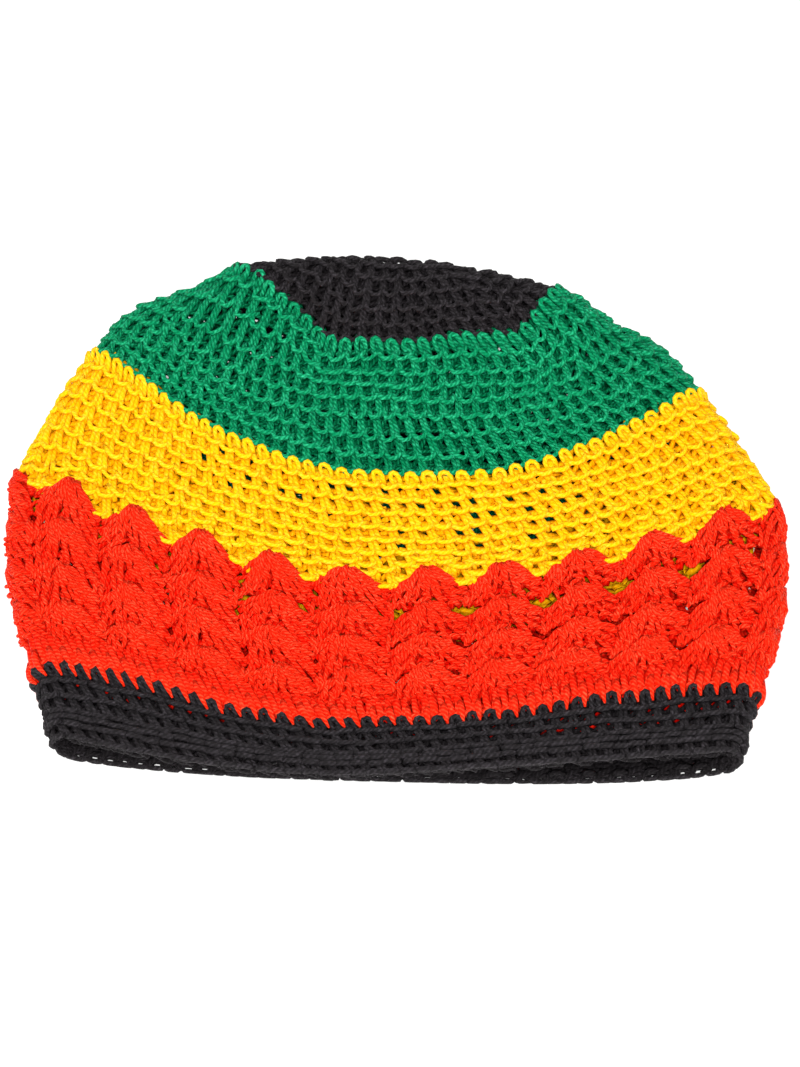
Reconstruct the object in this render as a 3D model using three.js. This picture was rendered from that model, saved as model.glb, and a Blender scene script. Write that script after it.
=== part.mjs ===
// Crocheted kufi lying on its back, in millimetres, +Z up.
// The mouth opens toward -Y, the crown stands at +Y, and the back layer lies flat on Z = 0.
// The wall follows one surface: a distance down from the crown centre, and a share of the way round.
import * as THREE from "three";

// Driving dimensions
const WALL = 3.0; // thickness of the crocheted wall
const HALF_WALL = WALL / 2;
const BAND_GAP = 0.3; // clearance between two bands of colour
const ORIGIN_Y = 91.0; // from the mouth's own zero line to the middle of the hat's length

// Distances down the hat from the crown centre
const CROWN_EDGE = 54;
const GREEN_EDGE = 93;
const YELLOW_EDGE = 133;
const SHELL_EDGE = 188;
const RIM_EDGE = 211;

// The six-sided crown
const SIDES = 6;
const CROWN_CORNER = 65; // centre to corner
const CROWN_TURN = THREE.MathUtils.degToRad(-7);
const CROWN_SIDEWAYS = 4.5; // the crown has slid this far toward +X
const CORNER_ROUNDING = 0.25; // 0 keeps the corners sharp, 1 makes a circle
const ROUND_CROWN = 1.05; // that circle's radius, as a share of centre to flat side
const CROWN_DROOP_Y = 720; // radius-like lengths: the crown falls away toward both sides
const CROWN_DROOP_Z = 560;
const DROOP_HEIGHT = 60; // height above the floor at which it falls away in full
const CROWN_RINGS = 9; // guide rings laid over the fold

// The red shells
const SHELLS = 22;
const SHELL_ROWS = 4;
const PLAIN_ROUND = 8; // height of the plain red round under the shells
const SHELL_PHASE = 0.49; // where the first shell's point stands, in shells from the back middle
const POINT_HEIGHT = 3.3; // half the height of the zigzag edge
const GAP_HEIGHT = 4; // the see-through gap at the foot of each shell
const GROOVE = 0.9; // how deep the wall dips where two rows of shells meet
const GROOVE_REACH = 1; // how far from the seam it still dips

// The rounds that stand out on the rim
const RIDGES = [200, 206.5]; // grooves between them
const RIDGE_GROOVE = 0.6;
const RIDGE_REACH = 0.5;
const FIRST_RIM_ROUND = 194;

// Faces along and round the wall, even ones between two given edges
const CROWN_ROWS = 9;
const GREEN_ROWS = 6;
const YELLOW_ROWS = 4;
const CROWN_COLUMNS = 66;

// Section through the middle of the crown, which is folded over its own far edge.
// along: distance from the crown centre, toward the front layer (+) or the back layer (-)
const CROWN_FOLD = [
  { along: -54, y: 144.2, z: 1.5 },
  { along: -46, y: 151.8, z: 4.2 },
  { along: -38, y: 159.0, z: 8.4 },
  { along: -28, y: 166.4, z: 15.4 },
  { along: -14, y: 171.4, z: 28.6 },
  { along: 0, y: 173.4, z: 42.5 },
  { along: 8, y: 173.8, z: 50.5 },
  { along: 18, y: 172.6, z: 60.3 },
  { along: 24, y: 169.3, z: 65.2 },
  { along: 30, y: 163.8, z: 66.6 },
  { along: 36, y: 158.2, z: 64.4 },
  { along: 44, y: 152.1, z: 59.4 },
  { along: 54, y: 144.4, z: 53.0 },
];

// Guide rings below the crown.
// down: distance from the crown centre. width: half the ring's width.
// front, side, back: where the ring passes the middle of the front layer, the side fold and the back.
// fold: radius of the side fold. ridge: x of the soft crease down the front.
// left, right, under: how square the ring is (1 is a V, 2 is round, more is squarer).
// skew: how far the left side lies back from the right one.
// Behind, the wall comes down from the side fold faster than a plain curve, by SETTLING.
const SETTLING = 1.3;
const RINGS = [
  ring(74, 83.0, [126.5, 42.5], [163.0, 39.0], [121, 1.5], 15, -14, [2.4, 3.4, 2.2], 0.1),
  ring(93, 97.5, [108.0, 33.0], [153.5, 28.0], [100, 1.5], 12, -14, [1.75, 2.4, 2.0], 0.095),
  ring(113, 110.5, [91.0, 26.5], [134.0, 21.0], [82, 1.5], 10, -14, [1.6, 2.3, 2.0], 0.075),
  ring(133, 119.5, [73.1, 21.5], [112.0, 16.0], [66, 1.5], 8, -14, [1.5, 2.1, 2.0], 0.055),
  ring(160, 119.5, [48.5, 17.0], [77.0, 11.5], [46, 1.5], 7, -14, [1.9, 1.8, 2.0], 0.045),
  ring(188, 109.5, [22.4, 14.0], [41.5, 9.0], [26, 1.5], 5.5, -12, [2.2, 1.4, 2.4], 0.035),
  ring(211, 102.5, [4.5, 12.0], [18.0, 7.0], [12, 1.5], 4.5, -16, [1.9, 1.15, 3.0], 0.03),
];

function ring(down, width, front, side, back, fold, ridge, square, skew) {
  const [left, right, under] = square;
  return { down, width, front, side, back, fold, ridge, left, right, under, skew };
}

// Angles round a ring start at the -X side fold and pass the middle of the back first
const RING_STEPS = 720;
const TINY = 1e-4; // stands for zero where a length is divided by
const ringAngles = Array.from(
  { length: RING_STEPS + 1 },
  (_, step) => (step / RING_STEPS) * 2 * Math.PI - Math.PI,
);

// A smooth curve through unevenly spaced guide values; each value is a list of numbers
function smooth(places, values, place) {
  const last = places.length - 1;
  let i = 0;
  while (i < last - 1 && place >= places[i + 1]) {
    i += 1;
  }
  const step = places[i + 1] - places[i];
  const t = (place - places[i]) / step;
  const slope = (k, axis) => (values[k + 1][axis] - values[k][axis]) / (places[k + 1] - places[k]);
  const tangent = (k, axis) => {
    if (k === 0 || k === last) {
      return slope(Math.min(k, last - 1), axis);
    }
    const before = places[k] - places[k - 1];
    const after = places[k + 1] - places[k];
    return (slope(k - 1, axis) * after + slope(k, axis) * before) / (before + after);
  };
  return values[i].map(
    (from, axis) =>
      (1 + 2 * t) * (1 - t) ** 2 * from +
      t * (1 - t) ** 2 * step * tangent(i, axis) +
      t ** 2 * (3 - 2 * t) * values[i + 1][axis] +
      t ** 2 * (t - 1) * step * tangent(i + 1, axis),
  );
}

const foldPlaces = CROWN_FOLD.map((row) => row.along);
const foldValues = CROWN_FOLD.map((row) => [row.y, row.z]);

// A ring of the crown: a rounded hexagon of the given share of full size, laid over the fold
function crownRing(share) {
  const flat = CROWN_CORNER * Math.cos(Math.PI / SIDES);
  return ringAngles.map((angle) => {
    const sector = (2 * Math.PI) / SIDES;
    const turned = angle - Math.PI / 2 - CROWN_TURN;
    const fromFlat = THREE.MathUtils.euclideanModulo(turned + sector / 2, sector) - sector / 2;
    const sharp = flat / Math.cos(fromFlat);
    const round = flat * ROUND_CROWN;
    const radius = share * THREE.MathUtils.lerp(sharp, round, CORNER_ROUNDING);
    const x = CROWN_SIDEWAYS + radius * Math.cos(angle);
    const along = radius * Math.sin(angle);
    const [foldY, foldZ] = smooth(foldPlaces, foldValues, along);
    const lifted = THREE.MathUtils.clamp((foldZ - HALF_WALL) / DROOP_HEIGHT, 0, 1);
    const y = foldY - x ** 2 / CROWN_DROOP_Y;
    const z = Math.max(foldZ - (lifted * x ** 2) / CROWN_DROOP_Z, HALF_WALL);
    return [x, y - RINGS[0].skew * x, z];
  });
}

// A ring below the crown: a front layer and a back layer that meet in rounded side folds
function bandRing(row) {
  return ringAngles.map((angle) => {
    const x = row.width * Math.cos(angle);
    const onFront = Math.sin(angle) >= 0;
    const [endY, endZ] = onFront ? row.front : row.back;
    const [sideY, sideZ] = row.side;
    const intoFold = Math.max(Math.abs(x) - (row.width - row.fold), 0) / row.fold;
    const roundness = row.fold * Math.sqrt(1 - Math.min(intoFold, 1) ** 2);
    let inward;
    let y;
    let z;
    if (onFront) {
      const leftOfRidge = x < row.ridge;
      const span = leftOfRidge ? row.width + row.ridge : row.width - row.ridge;
      inward = 1 - (Math.abs(x - row.ridge) / span) ** (leftOfRidge ? row.left : row.right);
      z = sideZ + (endZ - row.fold - sideZ) * inward + roundness;
    } else {
      inward = 1 - (Math.abs(x) / row.width) ** row.under;
      const settled = Math.min(inward * SETTLING, 1);
      z = sideZ + (endZ + row.fold - sideZ) * settled - roundness;
    }
    y = sideY + (endY - sideY) * inward;
    return [x, y - row.skew * x, Math.max(z, HALF_WALL)];
  });
}

// The same ring with its stations evenly spaced, as stitches are, from one side fold to the other
const STATIONS = 352;
const LAYER_STATIONS = STATIONS / 2;

function evenly(points) {
  const lengths = [0];
  for (let i = 1; i < points.length; i += 1) {
    lengths.push(lengths[i - 1] + points[i].distanceTo(points[i - 1]));
  }
  const total = lengths[lengths.length - 1];
  const even = [];
  let i = 0;
  for (let station = 0; station < LAYER_STATIONS; station += 1) {
    const target = (station / LAYER_STATIONS) * total;
    while (lengths[i + 1] < target) {
      i += 1;
    }
    const share = (target - lengths[i]) / Math.max(lengths[i + 1] - lengths[i], TINY);
    even.push(points[i].clone().lerp(points[i + 1], share));
  }
  return even;
}

function stationsOf(ringPoints) {
  const points = ringPoints.map((point) => new THREE.Vector3(...point));
  const middleStep = RING_STEPS / 2;
  return [...evenly(points.slice(0, middleStep + 1)), ...evenly(points.slice(middleStep))];
}

const guides = [];
for (let k = 0; k <= CROWN_RINGS; k += 1) {
  const share = Math.max(k / CROWN_RINGS, TINY);
  guides.push({ down: (k / CROWN_RINGS) * CROWN_EDGE, stations: stationsOf(crownRing(share)) });
}
for (const row of RINGS) {
  guides.push({ down: row.down, stations: stationsOf(bandRing(row)) });
}
const guidePlaces = guides.map((guide) => guide.down);

// Middle of the wall at a distance down the hat and a share of the way round,
// which is 0 at the middle of the back, 1/4 at the +X fold and 1/2 at the middle of the front
function middle(down, round) {
  const exact = THREE.MathUtils.euclideanModulo(round + 1 / 4, 1) * STATIONS;
  const station = Math.floor(exact) % STATIONS;
  const values = guides.map((guide) => {
    const here = guide.stations[station];
    const next = guide.stations[(station + 1) % STATIONS];
    return here.clone().lerp(next, exact - Math.floor(exact)).toArray();
  });
  const [x, y, z] = smooth(guidePlaces, values, down);
  return new THREE.Vector3(x, y - ORIGIN_Y, Math.max(z, HALF_WALL));
}

// Outward normal of the wall, from neighbours on both sides of the place
const NORMAL_DOWN = 1.5;
const NORMAL_ROUND = 1 / 220;
const NEAR_CENTRE = 0.5; // the crown centre itself has no normal of its own

function outward(down, round) {
  const low = Math.max(down - NORMAL_DOWN, NEAR_CENTRE);
  const high = Math.min(down + NORMAL_DOWN, RIM_EDGE);
  const alongDown = middle(high, round).sub(middle(low, round));
  const alongRound = middle(down, round + NORMAL_ROUND).sub(middle(down, round - NORMAL_ROUND));
  return alongRound.cross(alongDown).normalize();
}

// How far the outer face dips, where rows of shells meet and between the ridges of the rim
const SHELL_ROW = (SHELL_EDGE - YELLOW_EDGE - PLAIN_ROUND) / SHELL_ROWS;

function dip(down) {
  const intoShells = down - YELLOW_EDGE;
  const nearestRow = Math.round(intoShells / SHELL_ROW);
  const fromSeam = Math.abs(intoShells - nearestRow * SHELL_ROW);
  if (nearestRow >= 1 && nearestRow <= SHELL_ROWS && fromSeam < GROOVE_REACH) {
    return GROOVE;
  }
  return RIDGES.some((place) => Math.abs(down - place) < RIDGE_REACH) ? RIDGE_GROOVE : 0;
}

// The red shells' points stand up into the yellow band, one point to a shell
function zigzag(round) {
  const phase = THREE.MathUtils.euclideanModulo(round * SHELLS - SHELL_PHASE, 1);
  const fromPoint = Math.abs(phase - Math.round(phase)) * 2;
  return POINT_HEIGHT * (2 * fromPoint - 1);
}

const straight = () => 0;

// Two bands that meet share the normals of their seam, so that their edges stay parallel
const SEAMS = [CROWN_EDGE, GREEN_EDGE, YELLOW_EDGE, SHELL_EDGE];

function seamNear(down) {
  const seam = SEAMS.find((place) => Math.abs(place - down) <= 2 * BAND_GAP);
  return seam ?? down;
}

// One band of the wall as a closed body.
// edges: places down the hat, top to bottom. columns: places round it.
// waviness: what the zigzag adds at an edge. isGap: which cells are cut through.
function bandGeometry(edges, columns, waviness, isGap) {
  const positions = [];
  const indices = [];
  const poleAtTop = edges[0] === 0;
  const rows = edges.length;
  const count = columns.length;
  const place = (edge, column) => {
    const round = columns[column % count];
    const wave = waviness(edge, round);
    const down = edges[edge] + wave;
    const centre = middle(down, round);
    const normal = outward(seamNear(edges[edge]) + wave, round);
    const outer = centre.clone().addScaledVector(normal, HALF_WALL - dip(down));
    const inner = centre.clone().addScaledVector(normal, -HALF_WALL);
    positions.push(...outer.toArray(), ...inner.toArray());
  };
  for (let edge = 0; edge < rows; edge += 1) {
    for (let column = 0; column < count; column += 1) {
      place(edge, column);
    }
  }
  const corner = (edge, column, side) => {
    const onRing = edge === 0 && poleAtTop ? 0 : column % count;
    return (edge * count + onRing) * 2 + side;
  };
  const solid = (edge, column) =>
    edge >= 0 && edge < rows - 1 && !isGap(edge, (column + count) % count);
  const triangle = (a, b, c) => {
    if (a !== b && b !== c && c !== a) {
      indices.push(a, b, c);
    }
  };
  const quad = (a, b, c, d) => {
    triangle(a, c, b);
    triangle(a, d, c);
  };
  const distance = (a, b) =>
    Math.hypot(...[0, 1, 2].map((axis) => positions[3 * a + axis] - positions[3 * b + axis]));
  // Across a fold a face is split along its shorter diagonal, which keeps the fold smooth
  const face = (a, b, c, d) => {
    if (distance(a, c) <= distance(b, d)) {
      quad(a, b, c, d);
    } else {
      quad(b, c, d, a);
    }
  };
  for (let edge = 0; edge < rows - 1; edge += 1) {
    for (let column = 0; column < count; column += 1) {
      if (!solid(edge, column)) {
        continue;
      }
      const [topHere, topNext] = [0, 1].map((k) => corner(edge, column + k, 0));
      const [lowHere, lowNext] = [0, 1].map((k) => corner(edge + 1, column + k, 0));
      face(topNext, topHere, lowHere, lowNext);
      face(topHere + 1, topNext + 1, lowNext + 1, lowHere + 1);
      if (!solid(edge - 1, column) && !(edge === 0 && poleAtTop)) {
        quad(topHere, topNext, topNext + 1, topHere + 1);
      }
      if (!solid(edge + 1, column)) {
        quad(lowHere, lowHere + 1, lowNext + 1, lowNext);
      }
      if (!solid(edge, column - 1)) {
        quad(lowHere, topHere, topHere + 1, lowHere + 1);
      }
      if (!solid(edge, column + 1)) {
        quad(topNext, lowNext, lowNext + 1, topNext + 1);
      }
    }
  }
  const geometry = new THREE.BufferGeometry();
  geometry.setAttribute("position", new THREE.Float32BufferAttribute(positions, 3));
  geometry.setIndex(indices);
  return geometry.toNonIndexed();
}

const COTTON_ROUGHNESS = 0.6;

function bandMesh(name, colour, geometry) {
  geometry.computeVertexNormals();
  const material = new THREE.MeshStandardMaterial({ color: colour, roughness: COTTON_ROUGHNESS });
  const mesh = new THREE.Mesh(geometry, material);
  mesh.name = name;
  return mesh;
}

const evenSteps = (from, to, steps) =>
  Array.from({ length: steps + 1 }, (_, k) => THREE.MathUtils.lerp(from, to, k / steps));
const evenColumns = (count) => Array.from({ length: count }, (_, k) => k / count);
const noGap = () => false;

// Columns of the shells: four to a shell, with the gap between the middle two
const SHELL_COLUMNS = [-0.42, -0.09, 0.09, 0.42];
const shellColumns = [];
for (let shell = 0; shell < SHELLS; shell += 1) {
  for (const offset of SHELL_COLUMNS) {
    shellColumns.push((shell + SHELL_PHASE + offset) / SHELLS);
  }
}

// Edges of the shells: each row is a tall part, then the low part that its gap is cut through
const shellEdges = [YELLOW_EDGE];
for (let row = 1; row <= SHELL_ROWS; row += 1) {
  const seam = YELLOW_EDGE + row * SHELL_ROW;
  shellEdges.push(seam - GAP_HEIGHT, seam);
}
shellEdges.push(SHELL_EDGE);
const isShellGap = (edge, column) =>
  edge % 2 === 1 && edge < SHELL_ROWS * 2 && column % SHELL_COLUMNS.length === 1;

const crownColumns = evenColumns(CROWN_COLUMNS);
const crownEdges = evenSteps(0, CROWN_EDGE, CROWN_ROWS);
const crown = bandMesh(
  "crown",
  0x1c1b1d,
  bandGeometry(crownEdges, crownColumns, straight, noGap),
);
const greenEdges = evenSteps(CROWN_EDGE + BAND_GAP, GREEN_EDGE, GREEN_ROWS);
const greenBand = bandMesh(
  "green_band",
  0x12925f,
  bandGeometry(greenEdges, crownColumns, straight, noGap),
);
const yellowEdges = evenSteps(GREEN_EDGE + BAND_GAP, YELLOW_EDGE - BAND_GAP, YELLOW_ROWS);
const zigzagBelow = (edge, round) => (edge === YELLOW_ROWS ? zigzag(round) : 0);
const yellowBand = bandMesh(
  "yellow_band",
  0xf6d018,
  bandGeometry(yellowEdges, shellColumns, zigzagBelow, noGap),
);
const zigzagAbove = (edge, round) => (edge === 0 ? zigzag(round) : 0);
const shellBand = bandMesh(
  "shell_band",
  0xf0301c,
  bandGeometry(shellEdges, shellColumns, zigzagAbove, isShellGap),
);
const rimEdges = [SHELL_EDGE + BAND_GAP, FIRST_RIM_ROUND, ...RIDGES, RIM_EDGE];
const rim = bandMesh("rim", 0x262427, bandGeometry(rimEdges, shellColumns, straight, noGap));

const kufi = new THREE.Group();
kufi.add(crown, greenBand, yellowBand, shellBand, rim);

export default kufi;
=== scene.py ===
# %% [markdown]
# A crocheted kufi lies on its back, as a soft hat does when it is laid down: the back layer is
# flat on the floor, the crown stands at the far end and the mouth peeks open toward us.
# The hat is one long net of cotton yarn, so it is built from yarn too. Each stitch is a few
# short tubes, written once in a small flat coordinate system (down the hat, round it, out of it)
# and then laid on the curved wall. That keeps the stitches simple and the hat's shape in one place.

# %% Imports and the fixed frame
import math

import bpy
import numpy as np
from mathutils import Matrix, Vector


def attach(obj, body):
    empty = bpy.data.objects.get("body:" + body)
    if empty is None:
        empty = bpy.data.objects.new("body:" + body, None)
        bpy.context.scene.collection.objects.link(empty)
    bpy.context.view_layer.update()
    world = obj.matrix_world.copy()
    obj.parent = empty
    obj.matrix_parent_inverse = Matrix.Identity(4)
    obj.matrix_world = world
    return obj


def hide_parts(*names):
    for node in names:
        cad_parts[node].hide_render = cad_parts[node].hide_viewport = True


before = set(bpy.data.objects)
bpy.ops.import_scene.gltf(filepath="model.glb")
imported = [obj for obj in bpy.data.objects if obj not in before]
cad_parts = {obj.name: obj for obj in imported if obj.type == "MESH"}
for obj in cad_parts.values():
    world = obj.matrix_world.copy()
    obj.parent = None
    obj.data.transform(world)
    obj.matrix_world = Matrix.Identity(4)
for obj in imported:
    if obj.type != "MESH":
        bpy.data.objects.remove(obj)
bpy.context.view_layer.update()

# %% [markdown]
# Driving sizes, in millimetres. The hat is measured down its wall from the middle of the crown,
# so the five bands of colour are five stretches of one distance. The other direction is the
# share of the way round: 0 is the middle of the back and 0.5 the middle of the front.

# %% Driving sizes
MM = 0.001
CROWN_EDGE = 54
GREEN_EDGE = 93
YELLOW_EDGE = 133
SHELL_EDGE = 188
RIM_EDGE = 211
STITCHES = 88  # stitches of a round, from the green band's lower edge to the rim
FLOOR_CLEAR = 1.5  # height of the middle of the wall where it rests on the floor

edges = (0, CROWN_EDGE, GREEN_EDGE, YELLOW_EDGE, SHELL_EDGE, RIM_EDGE)
print("heights of the bands", [low - high for high, low in zip(edges, edges[1:])], "mm")

# %% [markdown]
# The wall is one smooth surface through a few guide rings. It could be sculpted, but a short
# table is easier to correct. The crown's table follows its middle over the fold. Every ring below
# it has a front and a back layer that meet in two side folds, and a row says where these pass.

# %% Guide tables
CROWN_FOLD = np.array([
    # along the crown, y, z
    (-54, 144.2, 1.5), (-46, 151.8, 4.2), (-38, 159.0, 8.4), (-28, 166.4, 15.4), (-14, 171.4, 28.6),
    (0, 173.4, 42.5), (8, 173.8, 50.5), (18, 172.6, 60.3), (24, 169.3, 65.2), (30, 163.8, 66.6),
    (36, 158.2, 64.4), (44, 152.1, 59.4), (54, 144.4, 53.0),
])
# down: distance of the ring. width: half its width. front, side, back: y and z there. fold: how
# round the side folds are. ridge: x of the front layer's highest place. left, right, under: how
# steeply the front's two halves and the back fall away. skew: how far the ring is turned.
RING_COLUMNS = "down width front side back fold ridge left right under skew"
RINGS = [
    (74, 83.0, (126.5, 42.5), (163.0, 39.0), (121, 1.5), 15, -14, 2.4, 3.4, 2.2, 0.1),
    (93, 97.5, (108.0, 33.0), (153.5, 28.0), (100, 1.5), 12, -14, 1.75, 2.4, 2.0, 0.095),
    (113, 110.5, (91.0, 26.5), (134.0, 21.0), (82, 1.5), 10, -14, 1.6, 2.3, 2.0, 0.075),
    (133, 119.5, (73.1, 21.5), (112.0, 16.0), (66, 1.5), 8, -14, 1.5, 2.1, 2.0, 0.055),
    (160, 119.5, (48.5, 17.0), (77.0, 11.5), (46, 1.5), 7, -14, 1.9, 1.8, 2.0, 0.045),
    (188, 109.5, (22.4, 14.0), (41.5, 9.0), (26, 1.5), 5.5, -12, 2.2, 1.4, 2.4, 0.035),
    (211, 102.5, (4.5, 12.0), (18.0, 7.0), (12, 1.5), 4.5, -16, 1.9, 1.15, 3.0, 0.03),
]
print("guide rows", len(CROWN_FOLD), "over the crown,", len(RINGS), "below it")

# %% Smooth curves through a table


def smooth(places, values, wanted):
    """A smooth curve through unevenly spaced guide values, read at the wanted places."""
    places = np.asarray(places, float)
    values = np.asarray(values, float)
    wide = (-1,) + (1,) * (values.ndim - 1)
    steps = np.diff(places).reshape(wide)
    slopes = np.diff(values, axis=0) / steps
    tangents = np.concatenate([slopes[:1], slopes])
    tangents[1:-1] = (slopes[:-1] * steps[1:] + slopes[1:] * steps[:-1]) / (steps[:-1] + steps[1:])
    i = np.clip(np.searchsorted(places, wanted, side="right") - 1, 0, len(places) - 2)
    step = steps[i]
    t = ((wanted - places[i]) / step.ravel()).reshape(wide)
    return (
        (1 + 2 * t) * (1 - t) ** 2 * values[i]
        + t * (1 - t) ** 2 * step * tangents[i]
        + t ** 2 * (3 - 2 * t) * values[i + 1]
        + t ** 2 * (t - 1) * step * tangents[i + 1]
    )


heights = smooth(CROWN_FOLD[:, 0], CROWN_FOLD[:, 2], np.linspace(0, CROWN_EDGE, 99))
print("the crown folds over at a height of", round(float(heights.max()), 1), "mm")

# %% [markdown]
# The crown is a rounded hexagon, laid over its fold. It droops a little toward both sides.

# %% Crown ring
RING_STEPS = 720
ANGLES = np.linspace(-np.pi, np.pi, RING_STEPS + 1)
CROWN_SIDES = 6
CROWN_CORNER = 65  # from the middle to a sharp corner
CROWN_TURN = math.radians(-7)
CROWN_SIDEWAYS = 4.5
CORNER_ROUNDING = 0.25  # 0 is a sharp hexagon, 1 a circle
ROUND_CROWN = 1.05  # that circle's radius, in distances to a flat side
CROWN_DROOP_Y = 720  # a larger number droops less
CROWN_DROOP_Z = 560
DROOP_HEIGHT = 60  # height at which the droop is full
TOP_SKEW = RINGS[0][-1]


def crown_ring(share):
    """A rounded hexagon of this share of full size, laid over the crown's fold."""
    flat = CROWN_CORNER * math.cos(math.pi / CROWN_SIDES)
    sector = 2 * math.pi / CROWN_SIDES
    from_flat = np.mod(ANGLES - math.pi / 2 - CROWN_TURN + sector / 2, sector) - sector / 2
    sharp = flat / np.cos(from_flat)
    radius = share * (sharp + (flat * ROUND_CROWN - sharp) * CORNER_ROUNDING)
    x = CROWN_SIDEWAYS + radius * np.cos(ANGLES)
    y, z = smooth(CROWN_FOLD[:, 0], CROWN_FOLD[:, 1:], radius * np.sin(ANGLES)).T
    lifted = np.clip((z - FLOOR_CLEAR) / DROOP_HEIGHT, 0, 1)
    y = y - x ** 2 / CROWN_DROOP_Y - TOP_SKEW * x
    z = np.maximum(z - lifted * x ** 2 / CROWN_DROOP_Z, FLOOR_CLEAR)
    return np.stack([x, y, z], axis=-1)


print("crown from side to side", round(float(np.ptp(crown_ring(1)[:, 0])), 1), "mm")

# %% Band ring
SETTLING = 1.3  # the back layer reaches the floor this many times sooner than the middle


def band_ring(row):
    """Front layer, side folds and back layer at one distance down the hat."""
    ring = dict(zip(RING_COLUMNS.split(), row))
    width, fold, ridge = ring["width"], ring["fold"], ring["ridge"]
    side_y, side_z = ring["side"]
    x = width * np.cos(ANGLES)
    left_of_ridge = x < ridge
    span = np.where(left_of_ridge, width + ridge, width - ridge)
    front = 1 - (np.abs(x - ridge) / span) ** np.where(left_of_ridge, ring["left"], ring["right"])
    back = 1 - (np.abs(x) / width) ** ring["under"]
    into_fold = np.clip((np.abs(x) - (width - fold)) / fold, 0, 1)
    roundness = fold * np.sqrt(1 - into_fold ** 2)
    front_y = side_y + (ring["front"][0] - side_y) * front
    back_y = side_y + (ring["back"][0] - side_y) * back
    front_z = side_z + (ring["front"][1] - fold - side_z) * front + roundness
    settled = np.minimum(back * SETTLING, 1)
    back_z = side_z + (ring["back"][1] + fold - side_z) * settled - roundness
    on_front = np.sin(ANGLES) >= 0
    y = np.where(on_front, front_y, back_y) - ring["skew"] * x
    z = np.maximum(np.where(on_front, front_z, back_z), FLOOR_CLEAR)
    return np.stack([x, y, z], axis=-1)


print("rim from side to side", round(float(np.ptp(band_ring(RINGS[-1])[:, 0])), 1), "mm")

# %% [markdown]
# Crochet spaces its stitches evenly, so each ring gets evenly spaced stations from side fold to
# side fold. A fine grid of the whole wall is worked out once, and everything else only reads it.
# A modifier that bends finished stitches would flatten their yarn at the folds.

# %% Stations round a ring
STATIONS = 352


def evenly(points):
    """Evenly spaced stations along half a ring."""
    lengths = np.r_[0, np.cumsum(np.linalg.norm(np.diff(points, axis=0), axis=1))]
    targets = np.linspace(0, lengths[-1], STATIONS // 2, endpoint=False)
    return np.stack([np.interp(targets, lengths, points[:, axis]) for axis in range(3)], axis=-1)


def stations_of(ring):
    """Stations all round a ring, from the middle of the back through the +X fold."""
    middle = RING_STEPS // 2
    stations = np.concatenate([evenly(ring[: middle + 1]), evenly(ring[middle:])])
    return np.roll(stations, -STATIONS // 4, axis=0)


print(STATIONS // STITCHES, "stations to a stitch")

# %% The wall as a grid
CROWN_RINGS = 9
CENTRE = 1e-4  # share of full size that is as good as a point
GRID_STEP = 0.5
ORIGIN_Y = 91.0  # y of the hat's middle in the tables

crown_shares = np.maximum(np.arange(CROWN_RINGS + 1) / CROWN_RINGS, CENTRE)
guide_places = np.r_[crown_shares * CROWN_EDGE, [row[0] for row in RINGS]]
guides = [stations_of(crown_ring(share)) for share in crown_shares]
guides += [stations_of(band_ring(row)) for row in RINGS]

grid_places = np.arange(0, RIM_EDGE + GRID_STEP, GRID_STEP)
wall_grid = smooth(guide_places, np.array(guides), grid_places)
wall_grid[..., 1] -= ORIGIN_Y
wall_grid[..., 2] = np.maximum(wall_grid[..., 2], FLOOR_CLEAR)
print("wall grid", wall_grid.shape, "height", round(float(wall_grid[..., 2].max()), 1), "mm")

# %% Which way is out
REACH = 3  # rows and stations that a normal looks to on each side
rows = np.arange(len(grid_places))
before, after = (np.clip(rows + reach, 0, rows[-1]) for reach in (-REACH, REACH))
along_down = wall_grid[after] - wall_grid[before]
along_round = np.roll(wall_grid, -REACH // 2, axis=1) - np.roll(wall_grid, REACH // 2, axis=1)
normal_grid = np.cross(along_round, along_down)
normal_grid[:REACH] = normal_grid[REACH:REACH + 1]
normal_grid /= np.linalg.norm(normal_grid, axis=-1, keepdims=True)
print("the middle of the front faces", normal_grid[-1, STATIONS // 2].round(2))

# %% Reading the grid
LAST_ROW = 1.001  # rows before the end of the grid where a read stops


def read_grid(grid, down, share):
    """Values of a grid at distances down the hat and shares of the way round it."""
    row = np.clip(down / GRID_STEP, 0, len(grid_places) - LAST_ROW)
    station = np.mod(share, 1) * STATIONS
    row_low, station_low = row.astype(int), station.astype(int) % STATIONS
    station_high = (station_low + 1) % STATIONS
    row_part, station_part = (row - row_low)[..., None], (station - np.floor(station))[..., None]

    def along_row(i):
        return grid[i, station_low] * (1 - station_part) + grid[i, station_high] * station_part

    return along_row(row_low) * (1 - row_part) + along_row(row_low + 1) * row_part


def pitch_at(down, count):
    """Width of one stitch in millimetres, from the wall's own girth there."""
    ring = read_grid(wall_grid, np.full(STATIONS, float(down)), np.arange(STATIONS) / STATIONS)
    return np.linalg.norm(ring - np.roll(ring, 1, axis=0), axis=1).sum() / count


print("a stitch above the shells is", round(pitch_at(YELLOW_EDGE, STITCHES), 1), "mm wide")

# %% [markdown]
# Rounds of handwork are never quite level, so a few long waves move the stitches by a fraction
# of a millimetre. The net is soft, so in places it is also drawn up by some millimetres.

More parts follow.
